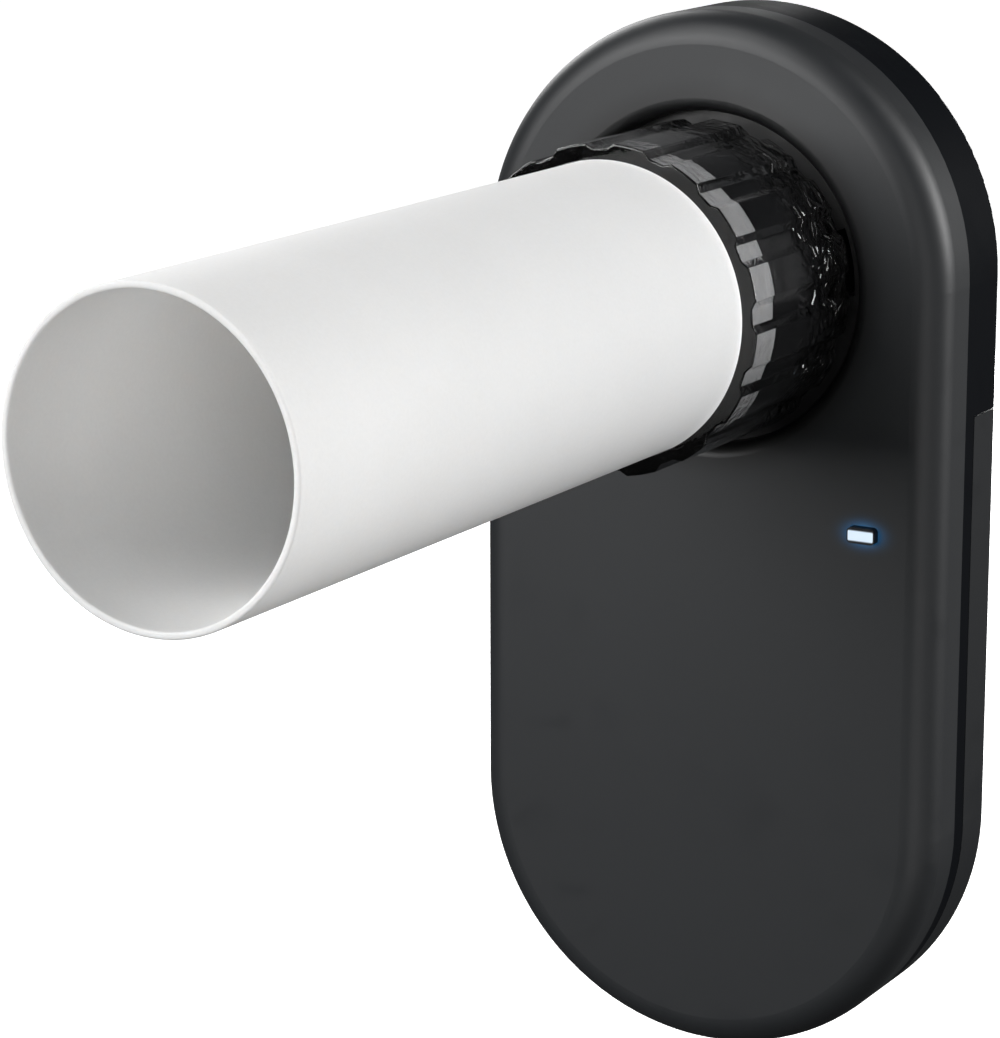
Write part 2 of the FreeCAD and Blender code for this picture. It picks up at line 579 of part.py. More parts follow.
def make_turbine_body():
    bore = FLOW_BORE_RADIUS
    swirl = SWIRLER_BORE_RADIUS
    front_stop = FRONT_SWIRLER_REAR_Y + SEATING_CLEARANCE
    rear_stop = REAR_SWIRLER_FRONT_Y - SEATING_CLEARANCE
    body = revolved([
        (TUBE_RADIUS, TURBINE_FRONT_Y), (TUBE_RADIUS, COLLAR_REAR_Y),
        (SPIGOT_RADIUS, COLLAR_REAR_Y + SPIGOT_STEP), (SPIGOT_RADIUS, TURBINE_REAR_Y),
        (swirl, TURBINE_REAR_Y), (swirl, rear_stop), (bore, rear_stop),
        (bore, front_stop), (swirl, front_stop), (swirl, TURBINE_FRONT_Y)])
    for angle in LUG_ANGLES:
        lug = sector(SPIGOT_RADIUS + LUG_HEIGHT, SPIGOT_RADIUS - 0.5, LUG_Y - LUG_THICKNESS / 2,
                     LUG_Y + LUG_THICKNESS / 2, angle, LUG_WIDTH_ANGLE)
        body = body.fuse(lug)
    return body.removeSplitter()


def make_grip_collar():
    outer = COLLAR_RADIUS
    blank = Part.Face(flute_outline(outer, COLLAR_FRONT_Y)).extrude(V(0, COLLAR_REAR_Y - COLLAR_FRONT_Y, 0))
    blank = blank.makeChamfer(COLLAR_FRONT_CHAMFER, edges_at(blank, COLLAR_FRONT_Y))
    rear = outer - COLLAR_REAR_CHAMFER
    taper_y = COLLAR_REAR_Y - COLLAR_REAR_CHAMFER - 1
    trim = revolved([(0, COLLAR_FRONT_Y), (outer + 1, COLLAR_FRONT_Y), (outer + 1, taper_y),
                     (rear, COLLAR_REAR_Y), (0, COLLAR_REAR_Y)])
    return blank.common(trim).cut(cylinder(TUBE_RADIUS + SOCKET_CLEARANCE, COLLAR_FRONT_Y, COLLAR_REAR_Y))


def make_swirler(front_y, rear_y, rotor_side, nose):
    """Hub, ring and blades that turn the flow about the axis; the blade curls towards the rotor."""
    length = rear_y - front_y
    ring_outer = SWIRLER_BORE_RADIUS - SOCKET_CLEARANCE
    ring_inner = ring_outer - SWIRLER_RING_WALL
    hub_radius = SWIRLER_HUB_DIAMETER / 2
    arc_radius = length / sin(radians(SWIRLER_TURN))
    direction = 1 if rotor_side == "rear" else -1
    start_y = front_y if rotor_side == "rear" else rear_y

    def curl(radius, angle):
        """A point of the blade's camber, in the plane that stands across the blade's span."""
        along = start_y + direction * radius * sin(radians(angle))
        across = arc_radius - radius * cos(radians(angle))
        return V(hub_radius - 1, along, FLOW_Z + across)

    thin = SWIRLER_BLADE_THICKNESS / 2
    sides = []
    for radius in (arc_radius - thin, arc_radius + thin):
        sides.append([curl(radius, SWIRLER_TURN * share) for share in (0, 0.5, 1)])
    (a, b, c), (d, e, f) = sides
    outline = Part.Wire([Part.Arc(a, b, c).toShape(), Part.LineSegment(c, f).toShape(),
                         Part.Arc(f, e, d).toShape(), Part.LineSegment(d, a).toShape()])
    blade = Part.Face(outline).extrude(V(ring_outer - hub_radius + 0.6, 0, 0))
    blade = blade.common(cylinder((ring_inner + ring_outer) / 2, front_y, rear_y))
    hub = cylinder(hub_radius, front_y, rear_y)
    nose_y = front_y if nose == "front" else rear_y
    hub = hub.makeFillet(SWIRLER_NOSE_RADIUS, edges_at(hub, nose_y))
    swirler = ring(ring_outer, ring_inner, front_y, rear_y).fuse(hub)
    for number in range(SWIRLER_BLADES):
        swirler = swirler.fuse(turned(blade, number * 360.0 / SWIRLER_BLADES))
    relief_depth = AXLE_OVERHANG - SWIRLER_GAP + AXLE_END_GAP
    if rotor_side == "rear":
        seat = cylinder(BEARING_DIAMETER / 2 + SEATING_CLEARANCE, rear_y - BEARING_LENGTH, rear_y)
        relief = cylinder(AXLE_DIAMETER, rear_y - relief_depth, rear_y)
    else:
        seat = cylinder(BEARING_DIAMETER / 2 + SEATING_CLEARANCE, front_y, front_y + BEARING_LENGTH)
        relief = cylinder(AXLE_DIAMETER, front_y, front_y + relief_depth)
    return swirler.cut(seat).cut(relief).removeSplitter()


def make_bearing(y_from):
    return ring(BEARING_DIAMETER / 2, AXLE_DIAMETER / 2 + BEARING_CLEARANCE, y_from, y_from + BEARING_LENGTH)


def make_rotor_vane():
    plate = block(-VANE_HALF_WIDTH, VANE_HALF_WIDTH, VANE_FRONT_Y, VANE_REAR_Y,
                  FLOW_Z - VANE_THICKNESS / 2, FLOW_Z + VANE_THICKNESS / 2)
    corners = [e for e in plate.Edges if abs(e.BoundBox.ZLength - VANE_THICKNESS) < 1e-4]
    plate = plate.makeFillet(VANE_CORNER_RADIUS, corners)
    hub_ends = (VANE_FRONT_Y - VANE_HUB_OVERHANG, VANE_REAR_Y + VANE_HUB_OVERHANG)
    vane = plate.fuse(cylinder(VANE_HUB_DIAMETER / 2, *hub_ends)).cut(cylinder(AXLE_DIAMETER / 2, *hub_ends))
    return turned(vane.removeSplitter(), VANE_REST_ANGLE)


def make_rotor_axle():
    axle = cylinder(AXLE_DIAMETER / 2, VANE_FRONT_Y - AXLE_OVERHANG, VANE_REAR_Y + AXLE_OVERHANG)
    tips = edges_at(axle, VANE_FRONT_Y - AXLE_OVERHANG) + edges_at(axle, VANE_REAR_Y + AXLE_OVERHANG)
    return axle.makeChamfer(AXLE_TIP_CHAMFER, tips)


def make_mouthpiece():
    rear = TURBINE_FRONT_Y - MOUTHPIECE_END_GAP
    front = rear - MOUTHPIECE_LENGTH
    tube = ring(TUBE_RADIUS, TUBE_RADIUS - MOUTHPIECE_WALL, front, rear)
    return tube.makeFillet(MOUTHPIECE_RIM_RADIUS, edges_at(tube, front))


def make_main_board():
    board = stadium(BOARD_INSET, BOARD_FRONT_Y, BOARD_REAR_Y)
    board = board.cut(cylinder(SEAT_RADIUS + BOARD_EDGE_GAP, BOARD_FRONT_Y, BOARD_REAR_Y))
    board = board.cut(block(-BOARD_NOTCH_X, BOARD_NOTCH_X, BOARD_FRONT_Y, BOARD_REAR_Y, LOWEST_Z,
                            BAY_TOP_Z + BAY_WALL + BOARD_BAY_GAP))
    board = board.cut(block(-HALF_WIDTH, HALF_WIDTH, BOARD_FRONT_Y, BOARD_REAR_Y, LOWEST_Z, BOARD_BOTTOM_Z))
    for x, z in mirrored_pair(screw_posts()[:1]):
        board = board.cut(cylinder(BOSS_RADIUS + BOSS_HOLE_CLEARANCE, BOARD_FRONT_Y, BOARD_REAR_Y, x, z))
    for x, z in board_posts():
        board = board.cut(cylinder(BOARD_SCREW_RADIUS + SCREW_CLEARANCE, BOARD_FRONT_Y, BOARD_REAR_Y, x, z))
    return board


def make_optos(angles):
    """Side-looking packages on the board, each with its lens towards the flow axis."""
    radius = SEAT_RADIUS + OPTO_SEAT_GAP
    packages = []
    for angle in angles:
        body = block(radius, radius + OPTO_DEPTH, BOARD_REAR_Y, BOARD_REAR_Y + OPTO_HEIGHT,
                     FLOW_Z - OPTO_WIDTH / 2, FLOW_Z + OPTO_WIDTH / 2)
        lens = Part.makeSphere(OPTO_LENS_RADIUS, V(radius + OPTO_LENS_RISE, BEAM_Y, FLOW_Z))
        packages.append(turned(body.fuse(lens), angle))
    return Part.makeCompound(packages)


def make_light_pipe():
    rear = BOARD_FRONT_Y - STATUS_LED_HEIGHT - CHIP_GAP
    return rounded_bar(LIGHT_WIDTH, LIGHT_HEIGHT, LIGHT_CORNER_RADIUS, LIGHT_FRONT_Y, rear, LIGHT_X, LIGHT_Z)


def make_light_sleeve():
    grow = 2 * LIGHT_SLEEVE_WALL
    front = LIGHT_FRONT_Y + LIGHT_SLEEVE_SETBACK
    rear = BOARD_FRONT_Y - STATUS_LED_HEIGHT - 2 * CHIP_GAP
    sleeve = rounded_bar(LIGHT_WIDTH + grow, LIGHT_HEIGHT + grow, LIGHT_CORNER_RADIUS + LIGHT_SLEEVE_WALL,
                         front, rear, LIGHT_X, LIGHT_Z)
    flange = rounded_bar(LIGHT_WIDTH + 2 * LIGHT_FLANGE, LIGHT_HEIGHT + 2 * LIGHT_FLANGE, LIGHT_FLANGE,
                         FRONT_INNER_Y, FRONT_INNER_Y + LIGHT_FLANGE, LIGHT_X, LIGHT_Z)
    core = rounded_bar(LIGHT_WIDTH, LIGHT_HEIGHT, LIGHT_CORNER_RADIUS, front, rear, LIGHT_X, LIGHT_Z)
    return sleeve.fuse(flange).cut(core).removeSplitter()


def make_status_led():
    half_x, half_z = STATUS_LED_WIDTH / 2, STATUS_LED_DEPTH / 2
    return block(LIGHT_X - half_x, LIGHT_X + half_x, BOARD_FRONT_Y - STATUS_LED_HEIGHT, BOARD_FRONT_Y,
                 LIGHT_Z - half_z, LIGHT_Z + half_z)


def package(size, x, z, y_from):
    """A flat component of this width, height and thickness, lying on the plane at y_from."""
    width, height, thickness = size
    return block(x - width / 2, x + width / 2, y_from, y_from + thickness, z - height / 2, z + height / 2)


def make_radio_module():
    """A small board of its own with a tin can over its lower part, the aerial left bare above."""
    base = package(RADIO_BOARD_SIZE, -LIGHT_X, LIGHT_Z, BOARD_REAR_Y)
    can_y = BOARD_REAR_Y + RADIO_BOARD_SIZE[2]
    can = package(RADIO_CAN_SIZE, -LIGHT_X, LIGHT_Z - RADIO_CAN_DROP, can_y)
    can = can.makeFillet(RADIO_CAN_RADIUS, edges_at(can, can_y + RADIO_CAN_SIZE[2]))
    return base.fuse(can).removeSplitter()


def make_board_chips():
    places = ((PROCESSOR_SIZE, LIGHT_X, LIGHT_Z - PROCESSOR_DROP),
              (MEMORY_SIZE, LIGHT_X, LIGHT_Z + MEMORY_RISE),
              (AMPLIFIER_SIZE, 0, ARC_CENTRE_Z + BOARD_RING_RADIUS))
    chips = []
    for size, x, z in places:
        chip = package(size, x, z, BOARD_REAR_Y)
        chips.append(chip.makeChamfer(CHIP_CHAMFER, edges_at(chip, BOARD_REAR_Y + size[2])))
    return Part.makeCompound(chips)


def make_board_screws():
    solids = [screw(BOARD_SCREW_RADIUS, BOARD_SCREW_HEAD_RADIUS, BOARD_SCREW_HEAD_HEIGHT, BOARD_SCREW_LENGTH,
                    x, z, BOARD_REAR_Y) for x, z in board_posts()]
    return Part.makeCompound(solids)


def make_housing_screws():
    length = SCREW_SEAT_Y - FRONT_INNER_Y - SCREW_TIP_GAP
    solids = [screw(SCREW_RADIUS, SCREW_HEAD_RADIUS, SCREW_HEAD_HEIGHT, length, x, z, SCREW_SEAT_Y)
              for x, z in mirrored_pair(screw_posts())]
    return Part.makeCompound(solids)


def make_cell(x, nub_z, direction):
    """A cell standing on end: its raised contact at nub_z, its body running away along direction."""
    axis = V(0, 0, direction)
    nub = Part.makeCylinder(CELL_NUB_RADIUS, CELL_NUB_HEIGHT, V(x, CELL_Y, nub_z), axis)
    can_z = nub_z + direction * CELL_NUB_HEIGHT
    can = Part.makeCylinder(CELL_RADIUS, CELL_LENGTH - CELL_NUB_HEIGHT, V(x, CELL_Y, can_z), axis)
    ends = [e for e in can.Edges if e.BoundBox.ZLength < 1e-4]
    return can.makeFillet(CELL_EDGE_RADIUS, ends).fuse(nub).removeSplitter()


def make_battery_cells():
    return Part.makeCompound([make_cell(-CELL_X, TOP_CONTACT_Z, -1), make_cell(CELL_X, BOTTOM_CONTACT_Z, 1)])


def contact_plate(x, half_width, level, direction):
    """A spring-steel plate against the end of the bay, its inner face at level."""
    outer = level - direction * CONTACT_THICKNESS
    half = CONTACT_WIDTH / 2
    low, high = min(level, outer), max(level, outer)
    return block(x - half_width, x + half_width, CELL_Y - half, CELL_Y + half, low, high)


def coil(x, level, direction):
    """A conical coil from the plate at level to the flat end of a cell."""
    height = SPRING_HEIGHT - 2 * SPRING_WIRE_RADIUS
    count = SPRING_TURNS * 8
    points = []
    for number in range(count + 1):
        share = number / count
        radius = SPRING_BASE_RADIUS + (SPRING_TIP_RADIUS - SPRING_BASE_RADIUS) * share
        angle = 2 * pi * SPRING_TURNS * share
        z = level + direction * (SPRING_WIRE_RADIUS - SPRING_SINK + height * share)
        points.append(V(x + radius * cos(angle), CELL_Y + radius * sin(angle), z))
    path = Part.BSplineCurve()
    path.interpolate(points)
    start = path.value(path.FirstParameter)
    tangent = path.tangent(path.FirstParameter)[0]
    section = Part.Wire(Part.makeCircle(SPRING_WIRE_RADIUS, start, tangent))
    return Part.Wire(path.toShape()).makePipeShell([section], True, False)


def make_plus_contact():
    return contact_plate(-CELL_X, CONTACT_WIDTH / 2, TOP_CONTACT_Z, -1)


def make_minus_contact():
    plate = contact_plate(CELL_X, CONTACT_WIDTH / 2, TOP_CONTACT_Z, -1)
    return plate.fuse(coil(CELL_X, TOP_CONTACT_Z, -1))


def make_bridge_contact():
    plate = contact_plate(0, CELL_X + CONTACT_WIDTH / 2, BOTTOM_CONTACT_Z, 1)
    return plate.fuse(coil(-CELL_X, BOTTOM_CONTACT_Z, 1))


NODES = {
    "front_shell": make_front_shell,
    "rear_shell": make_rear_shell,
    "battery_cover": make_battery_cover,
    "turbine_seat": make_turbine_seat,
    "turbine_body": make_turbine_body,
    "grip_collar": make_grip_collar,
    "front_swirler": lambda: make_swirler(FRONT_SWIRLER_FRONT_Y, FRONT_SWIRLER_REAR_Y, "rear", "front"),
    "rear_swirler": lambda: make_swirler(REAR_SWIRLER_FRONT_Y, REAR_SWIRLER_REAR_Y, "front", "rear"),
    "front_bearing": lambda: make_bearing(FRONT_SWIRLER_REAR_Y - BEARING_LENGTH),
    "rear_bearing": lambda: make_bearing(REAR_SWIRLER_FRONT_Y),
    "rotor_vane": make_rotor_vane,
    "rotor_axle": make_rotor_axle,
    "mouthpiece": make_mouthpiece,
    "main_board": make_main_board,
    "ir_emitters": lambda: make_optos(BEAM_ANGLES),
    "ir_detectors": lambda: make_optos([angle + 180 for angle in BEAM_ANGLES]),
    "light_pipe": make_light_pipe,
    "light_sleeve": make_light_sleeve,
    "status_led": make_status_led,
    "radio_module": make_radio_module,
    "board_chips": make_board_chips,
    "board_screws": make_board_screws,
    "housing_screws": make_housing_screws,
    "battery_cells": make_battery_cells,
    "plus_contact": make_plus_contact,
    "minus_contact": make_minus_contact,
    "bridge_contact": make_bridge_contact,
}

os.makedirs("parts", exist_ok=True)
for name, make in NODES.items():
    shape = make()
    shape.exportStep("parts/" + name + ".step")
    print(name, "valid" if shape.isValid() else "NOT VALID", "solids", len(shape.Solids),
          "volume", round(shape.Volume, 2))
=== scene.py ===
from math import atan2, cos, degrees, hypot, pi, radians, sin

import bmesh
import bpy
from mathutils import Matrix, Vector


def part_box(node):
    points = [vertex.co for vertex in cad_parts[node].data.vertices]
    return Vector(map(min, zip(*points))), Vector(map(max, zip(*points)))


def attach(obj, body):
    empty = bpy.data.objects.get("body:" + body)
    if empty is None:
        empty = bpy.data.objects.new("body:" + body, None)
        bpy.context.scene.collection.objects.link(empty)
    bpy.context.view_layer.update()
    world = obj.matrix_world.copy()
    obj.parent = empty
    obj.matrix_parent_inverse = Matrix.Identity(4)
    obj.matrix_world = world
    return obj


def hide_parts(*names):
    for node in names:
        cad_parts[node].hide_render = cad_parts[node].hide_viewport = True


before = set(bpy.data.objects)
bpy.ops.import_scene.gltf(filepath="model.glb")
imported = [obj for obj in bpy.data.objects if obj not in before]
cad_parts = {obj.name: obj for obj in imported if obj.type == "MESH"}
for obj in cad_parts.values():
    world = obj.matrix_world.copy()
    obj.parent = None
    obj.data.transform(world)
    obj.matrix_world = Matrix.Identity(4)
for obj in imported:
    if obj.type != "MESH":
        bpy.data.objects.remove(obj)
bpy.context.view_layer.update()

# The front half of the housing: one injection moulding in dark grey ABS with a fine matt grain.
# Its edge is rounded all the way round. A round recess with a soft rim takes the collar. Little
# light gets down to its floor, and painted shade darkens the grey there and a little past the rim.

# Lengths here and below are in metres, and angles in degrees.
SHELL_GREY = (0.0196, 0.0214, 0.0236, 1)
COLOUR_DRIFT = 0.1
DRIFT_SCALE = 38.0
DRIFT_SHARE = 0.7
GRAIN_SHINE = 0.08
RUB_SCALE = 160.0
RUB_STOPS = ((0.56, 0), (0.72, 1))
RUB_SHINE = 0.05
COAT_ROUGHNESS = 0.15
PAINTED_SHADE_FULL_REACH = 0.0172
PAINTED_SHADE_FADE_REACH = 0.0216
RECESS_PAINTED_SHADE = 0.06
tube_low, tube_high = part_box("mouthpiece")
flow_axis = Vector((0, 0, (tube_low.z + tube_high.z) / 2))


def grey(tone):
    """A neutral colour, from 0 for black to 1 for white."""
    return (tone, tone, tone, 1)


def tint(colour, share):
    """The same colour made lighter or darker."""
    return tuple(min(1.0, channel * share) for channel in colour[:3]) + (1,)


class Shade:
    """A socket in a material. Sums on it add Math nodes, and node() adds any other kind of node."""

    def __init__(self, tree, socket=None):
        self.tree = tree
        self.socket = socket

    def node(self, kind, settings=None, inputs=None, output=0):
        made = self.tree.nodes.new("ShaderNode" + kind)
        for name, setting in (settings or {}).items():
            if name == "stops":
                self.set_stops(made.color_ramp, setting)
            else:
                setattr(made, name, setting)
        for name, value in (inputs or {}).items():
            self.join(made.inputs[name], value)
        return Shade(self.tree, made.outputs[output])

    def join(self, socket, value):
        if isinstance(value, Shade):
            self.tree.links.new(value.socket, socket)
        else:
            socket.default_value = value

    def set_stops(self, ramp, stops):
        for number, (position, tone) in enumerate(stops):
            stop = ramp.elements[number] if number < 2 else ramp.elements.new(position)
            stop.position = position
            stop.color = grey(tone)

    def noise(self, scale, detail, distortion=0.0):
        """A cloudy pattern on this place."""
        return self.node("TexNoise", inputs={"Vector": self, "Scale": scale, "Detail": detail,
                                             "Distortion": distortion})

    def along(self, axis):
        """One coordinate of this place."""
        return self.node("SeparateXYZ", inputs={"Vector": self}, output=axis)

    def reach(self, centre, weights):
        """The distance from this place to a centre, with each direction counted by its weight."""
        weighed = self.node("VectorMath", {"operation": "MULTIPLY"}, {0: self, 1: weights})
        middle = tuple(part * weight for part, weight in zip(centre, weights))
        return self.node("VectorMath", {"operation": "DISTANCE"}, {0: weighed, 1: middle},
                         output="Value")

    def fade(self, low, high):
        """0 where this value is under low, 1 where it is over high, and soft between."""
        return self.node("MapRange", {"interpolation_type": "SMOOTHSTEP"},
                         {"Value": self, "From Min": low, "From Max": high})

    def blend(self, first, second):
        """The colour between first and second, with this value as the share of second."""
        return self.node("Mix", {"data_type": "RGBA"}, {0: self, 6: first, 7: second}, output=2)

    def relief(self, depth, strength=1.0):
        """This value as a raised pattern, so many metres deep."""
        return self.node("Bump", inputs={"Strength": strength, "Distance": depth, "Height": self})

    def math(self, operation, first, second):
        return self.node("Math", {"operation": operation}, {0: first, 1: second})

    def __add__(self, other):
        return self.math("ADD", self, other)

    def __radd__(self, other):
        return self.math("ADD", other, self)

    def __sub__(self, other):
        return self.math("SUBTRACT", self, other)

    def __rsub__(self, other):
        return self.math("SUBTRACT", other, self)

    def __mul__(self, other):
        return self.math("MULTIPLY", self, other)

    def __rmul__(self, other):
        return self.math("MULTIPLY", other, self)

    def __pow__(self, other):
        return self.math("POWER", self, other)

    def __abs__(self):
        return self.math("ABSOLUTE", self, 0.0)


def place_in(material):
    """The place of each point in its object, so that a pattern stays on the piece."""
    return Shade(material.node_tree).node("TexCoord", output="Object")


def surface_of(material):
    """The input sockets of a material's surface."""
    return material.node_tree.nodes["Principled BSDF"].inputs


def start_finish(name):
    """A new material, with the place that its patterns start from and the sockets they go to."""
    material = bpy.data.materials.new(name)
    material.use_nodes = True
    return material, place_in(material), surface_of(material)


def moulded(name, colour, roughness, grain_size, grain_depth, coat=0.0, shine=0.5):
    """Moulded plastic: a colour that drifts a little, a fine grain and a few rubbed patches."""
    material, place, surface = start_finish(name)
    drift = place.noise(DRIFT_SCALE, detail=3.0)
    grain = place.noise(1 / grain_size, detail=2.0)
    rub = place.noise(RUB_SCALE, detail=5.0, distortion=0.6)
    rubbed = place.node("ValToRGB", {"stops": RUB_STOPS}, {"Fac": rub})
    patches = drift * DRIFT_SHARE + grain * (1 - DRIFT_SHARE)
    colours = patches.blend(tint(colour, 1 - COLOUR_DRIFT), tint(colour, 1 + COLOUR_DRIFT))
    smoothest = roughness - GRAIN_SHINE / 2
    place.join(surface["Base Color"], colours)
    place.join(surface["Roughness"], smoothest + grain * GRAIN_SHINE - rubbed * RUB_SHINE)
    place.join(surface["Normal"], grain.relief(grain_depth))
    surface["Specular IOR Level"].default_value = shine
    surface["Coat Weight"].default_value = coat
    surface["Coat Roughness"].default_value = COAT_ROUGHNESS
    return material


def paint_recess_shade(material):
    """Paints shade into the finish: darker towards the floor of the round recess and a little past
    its rim.
    """
    place, surface = place_in(material), surface_of(material)
    plain = Shade(material.node_tree, surface["Base Color"].links[0].from_socket)
    # Painted shade: the plain grey multiplied down to a dark grey round the collar.
    dark = place.node("Mix", {"data_type": "RGBA", "blend_type": "MULTIPLY"},
                      {0: 1.0, 6: plain, 7: grey(RECESS_PAINTED_SHADE)}, output=2)
    off_axis = place.reach(flow_axis, weights=(1, 0, 1))
    unshaded = off_axis.fade(PAINTED_SHADE_FULL_REACH, PAINTED_SHADE_FADE_REACH)
    place.join(surface["Base Color"], unshaded.blend(dark, plain))


def dress(material, *nodes):
    """Gives CAD nodes their finish."""
    for node in nodes:
        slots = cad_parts[node].data.materials
        slots.clear()
        slots.append(material)


front_finish = moulded("front_shell_finish", SHELL_GREY, roughness=0.46,
                       grain_size=0.00022, grain_depth=0.000003)
# Painted shade round the collar, in the recess and just past its rim, where little light gets in.
paint_recess_shade(front_finish)
dress(front_finish, "front_shell")

# The back half of the housing: a smoother black moulding.
# Its stepped deck carries the battery bay and the screw posts under the battery cover.

SHELL_BLACK = (0.0036, 0.0044, 0.0060, 1)
rear_finish = moulded("rear_shell_finish", SHELL_BLACK, roughness=0.45,
                      grain_size=0.00030, grain_depth=0.000003, shine=0.06)
dress(rear_finish, "rear_shell")

# The battery cover: a thin tray in the same grey as the front, closing the lower back and its
# sides. It slides down off two pairs of hooks, helped by the grooves moulded under the thumb.

# Painted shade: this grey is set darker than the front's, to darken the cover's brightly lit sides.
COVER_SHADED_GREY = (0.0165, 0.0178, 0.0196, 1)
cover_finish = moulded("battery_cover_finish", COVER_SHADED_GREY, roughness=0.42,
                       grain_size=0.00022, grain_depth=0.000003, shine=0.4)
dress(cover_finish, "battery_cover")

# The turbine's inner parts: a black tube with two bladed swirlers, and a light vane that spins
# between them. Brass bushes carry the vane's steel axle, and the tube turns in a black seat.

INNER_BLACK = (0.006, 0.006, 0.007, 1)
SEAT_BLACK = (0.0096, 0.0096, 0.0112, 1)
BRASS = (0.62, 0.45, 0.20, 1)
STEEL = (0.55, 0.55, 0.56, 1)
TARNISH_SCALE = 300.0
TARNISH_SHARE = 0.6
TARNISH_SHINE = 0.08
TARNISH_DARKEST = 0.75
TARNISH_LIGHTEST = 1.1
LINE_DEPTH = 0.000004
LINE_SHINE = 0.12


def metal(name, colour, roughness, line_scale):
    """Bare metal with fine lines drawn along one axis, and a little tarnish."""
    material, place, surface = start_finish(name)
    drawn = place.node("Mapping", inputs={"Vector": place, "Scale": line_scale})
    lines = drawn.noise(1.0, detail=4.0)
    tarnish = place.noise(TARNISH_SCALE, detail=4.0)
    patches = tarnish * TARNISH_SHARE + lines * (1 - TARNISH_SHARE)
    colours = patches.blend(tint(colour, TARNISH_DARKEST), tint(colour, TARNISH_LIGHTEST))
    place.join(surface["Base Color"], colours)
    place.join(surface["Roughness"], roughness + lines * LINE_SHINE + tarnish * TARNISH_SHINE)
    place.join(surface["Normal"], lines.relief(LINE_DEPTH, strength=0.5))
    surface["Metallic"].default_value = 1.0
    return material


turbine_finish = moulded("turbine_finish", INNER_BLACK, roughness=0.22,
                         grain_size=0.00030, grain_depth=0.000002, shine=0.1)
vane_finish = moulded("vane_finish", INNER_BLACK, roughness=0.5,
                      grain_size=0.00020, grain_depth=0.000004)
inner_finish = moulded("inner_finish", SEAT_BLACK, roughness=0.55,
                       grain_size=0.00025, grain_depth=0.000006)
bearing_finish = metal("bearing_finish", BRASS, roughness=0.2, line_scale=(2500, 9000, 2500))
axle_finish = metal("axle_finish", STEEL, roughness=0.15, line_scale=(9000, 1200, 9000))
dress(turbine_finish, "turbine_body", "front_swirler", "rear_swirler")
dress(vane_finish, "rotor_vane")
dress(inner_finish, "turbine_seat", "light_sleeve")
dress(bearing_finish, "front_bearing", "rear_bearing")
dress(axle_finish, "rotor_axle")

# The mouthpiece: a thin straight white tube, open at both ends, pushed into the collar.
# Its rims are cut square and lightly rounded, and its thin wall lets some light through.

TUBE_WHITE = (0.87, 0.868, 0.86, 1)
TUBE_WALL = 0.0007
TUBE_RIM_RADIUS = 0.00022
TUBE_SIDES = 160
WALL_LIGHT_SHARE = 0.7
WALL_LIGHT_COLOUR = (1.0, 0.95, 0.9)
WALL_LIGHT_DEPTH = 0.0013
tube_radius = (tube_high.x - tube_low.x) / 2
tube_bore = tube_radius - TUBE_WALL
tube_length = tube_high.y - tube_low.y


def start_loop(name, sides, radius, y):
    """A new piece, open for editing: one loop of points round the flow axis, all selected."""
    bpy.ops.object.select_all(action="DESELECT")
    bpy.ops.mesh.primitive_circle_add(vertices=sides, radius=radius, rotation=(pi / 2, 0, 0),
                                      location=flow_axis + Vector((0, y, 0)))
    piece = bpy.context.active_object
    piece.name = piece.data.name = name
    bpy.ops.object.transform_apply(location=True, rotation=True, scale=True)
    bpy.ops.object.mode_set(mode="EDIT")
    bpy.ops.mesh.select_all(action="SELECT")
    return piece


def next_loop(along, growth=1.0):
    """Extrudes the selected loop along the flow axis, and scales it about that axis."""
    bpy.ops.mesh.extrude_region_move(TRANSFORM_OT_translate={"value": (0, along, 0)})
    bpy.ops.transform.resize(value=(growth, 1, growth), center_override=flow_axis)


def pick(piece, kind, test):
    """Selects only the points, edges or faces of a piece that pass the test."""
    bpy.ops.mesh.select_mode(type=kind)
    bpy.ops.mesh.select_all(action="DESELECT")
    mesh = bmesh.from_edit_mesh(piece.data)
    for item in {"VERT": mesh.verts, "EDGE": mesh.edges, "FACE": mesh.faces}[kind]:
        if test(item):
            item.select = True
    mesh.select_flush_mode()
    bmesh.update_edit_mesh(piece.data)


def close_ends(piece):
    """Bridges the two open loops that are left, and turns all faces outwards."""
    pick(piece, "EDGE", lambda edge: edge.is_boundary)
    bpy.ops.mesh.bridge_edge_loops()
    bpy.ops.mesh.select_all(action="SELECT")
    bpy.ops.mesh.normals_make_consistent(inside=False)


def round_edges(piece, width, segments, angle):
    """Leaves edit mode, rounds every edge sharper than the angle, and keeps broad faces true."""
    bpy.ops.object.mode_set(mode="OBJECT")
    bevel = piece.modifiers.new("rounding", "BEVEL")
    bevel.width = width
    bevel.segments = segments
    bevel.limit_method = "ANGLE"
    bevel.angle_limit = radians(angle)
    bpy.ops.object.modifier_apply(modifier=bevel.name)
    bpy.ops.object.shade_smooth_by_angle(angle=radians(angle))
    true_faces = piece.modifiers.new("true_faces", "WEIGHTED_NORMAL")
    true_faces.keep_sharp = True
    bpy.ops.object.modifier_apply(modifier=true_faces.name)


